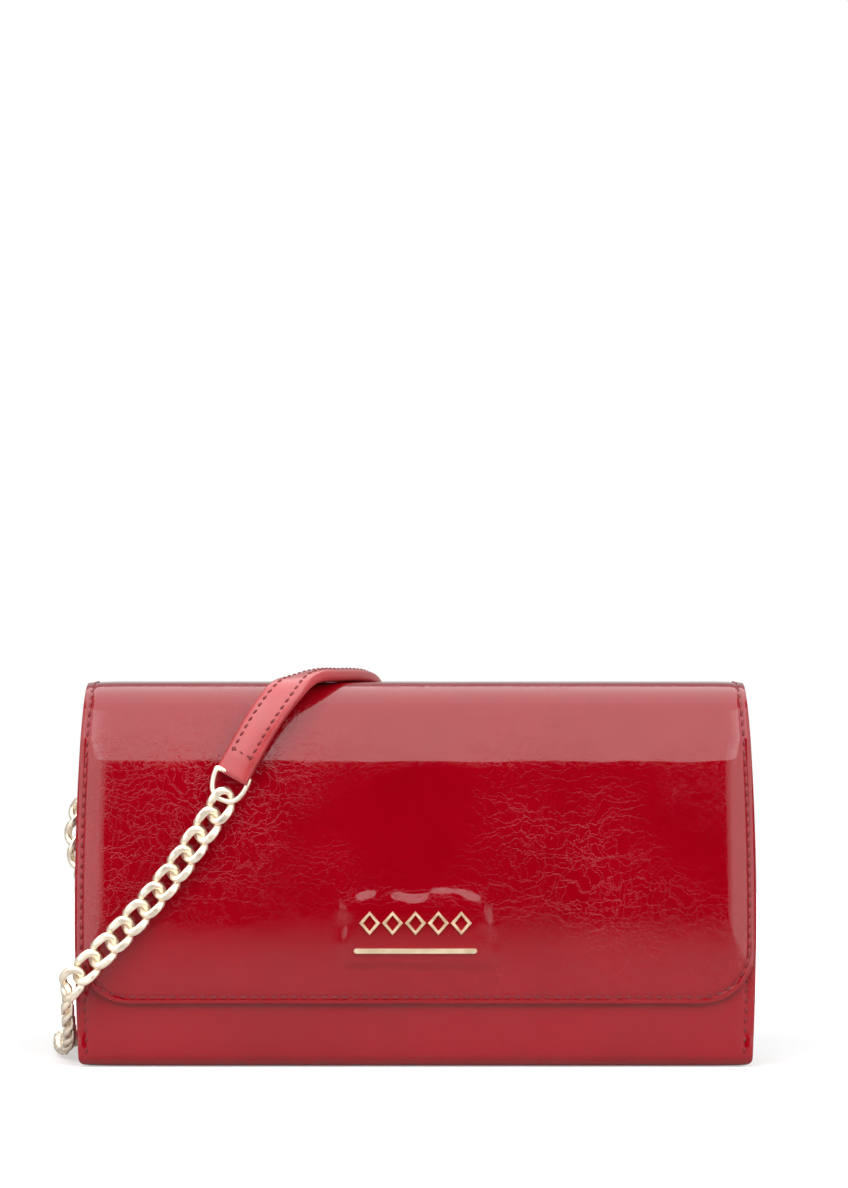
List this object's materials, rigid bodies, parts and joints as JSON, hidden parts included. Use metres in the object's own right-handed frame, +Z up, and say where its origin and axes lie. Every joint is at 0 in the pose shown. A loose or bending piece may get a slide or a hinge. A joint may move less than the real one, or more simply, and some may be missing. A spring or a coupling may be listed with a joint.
{
  "type": "clutch purse",
  "caption": "Flat flap-over clutch purse with folding side gussets, a magnetic snap, a zip pocket and a draped curb-chain strap with a leather shoulder pad.",
  "frame": {"origin": "middle of the base, on the ground, without the strap", "axes": "+X to the right seen from the front, -Y out of the front with the flap, +Z up"},
  "size_m": [0.2431, 0.1164, 0.1398],
  "materials": {
    "patent_leather": "glossy crinkled red patent leather",
    "strap_leather": "smooth satin red leather",
    "lining": "woven dark red lining",
    "zip_fabric": "woven zip tape",
    "board": "bonded fibre stiffener",
    "gold_metal": "polished pale gold plating",
    "chain_metal": "brushed pale gold plating"
  },
  "bodies": {
    "bag": {"front_panel": "patent_leather", "back_panel": "patent_leather", "base_panel": "patent_leather", "left_gusset": "patent_leather", "right_gusset": "patent_leather", "left_ring_tab": "patent_leather", "right_ring_tab": "patent_leather", "mouth_binding": "strap_leather", "front_board": "board", "back_board": "board", "base_board": "board", "front_lining": "lining", "back_lining": "lining", "base_lining": "lining", "slip_pocket": "lining", "card_slot_1": "lining", "card_slot_2": "lining", "card_slot_3": "lining", "zip_pocket_bag": "lining", "zip_tape": "zip_fabric", "zip_teeth": "gold_metal", "zip_stops": "gold_metal", "snap_socket": "gold_metal", "left_d_ring": "gold_metal", "right_d_ring": "gold_metal", "left_tab_rivet": "gold_metal", "right_tab_rivet": "gold_metal", "chain_side": "chain_metal", "chain_rear": "chain_metal", "pad_rear": "strap_leather", "pad_ring_rear": "gold_metal"},
    "flap": {"flap_leather": "patent_leather", "flap_board": "board", "flap_lining": "lining", "snap_cap": "gold_metal", "ornament_bar": "gold_metal", "ornament_frets": "gold_metal", "chain_front": "chain_metal", "pad_front": "strap_leather", "pad_ring_front": "gold_metal"},
    "zip": {"zip_slider": "gold_metal", "zip_pull": "gold_metal"}
  },
  "joints": [
    {"name": "flap_hinge", "type": "hinge", "parent": "bag", "child": "flap", "pos_m": [0, 0.0203, 0.1282], "axis": [-1, 0, 0], "range_deg": [0, 150]},
    {"name": "zip_slide", "type": "slide", "parent": "bag", "child": "zip", "axis": [1, 0, 0], "range_m": [0, 0.14]}
  ]
}
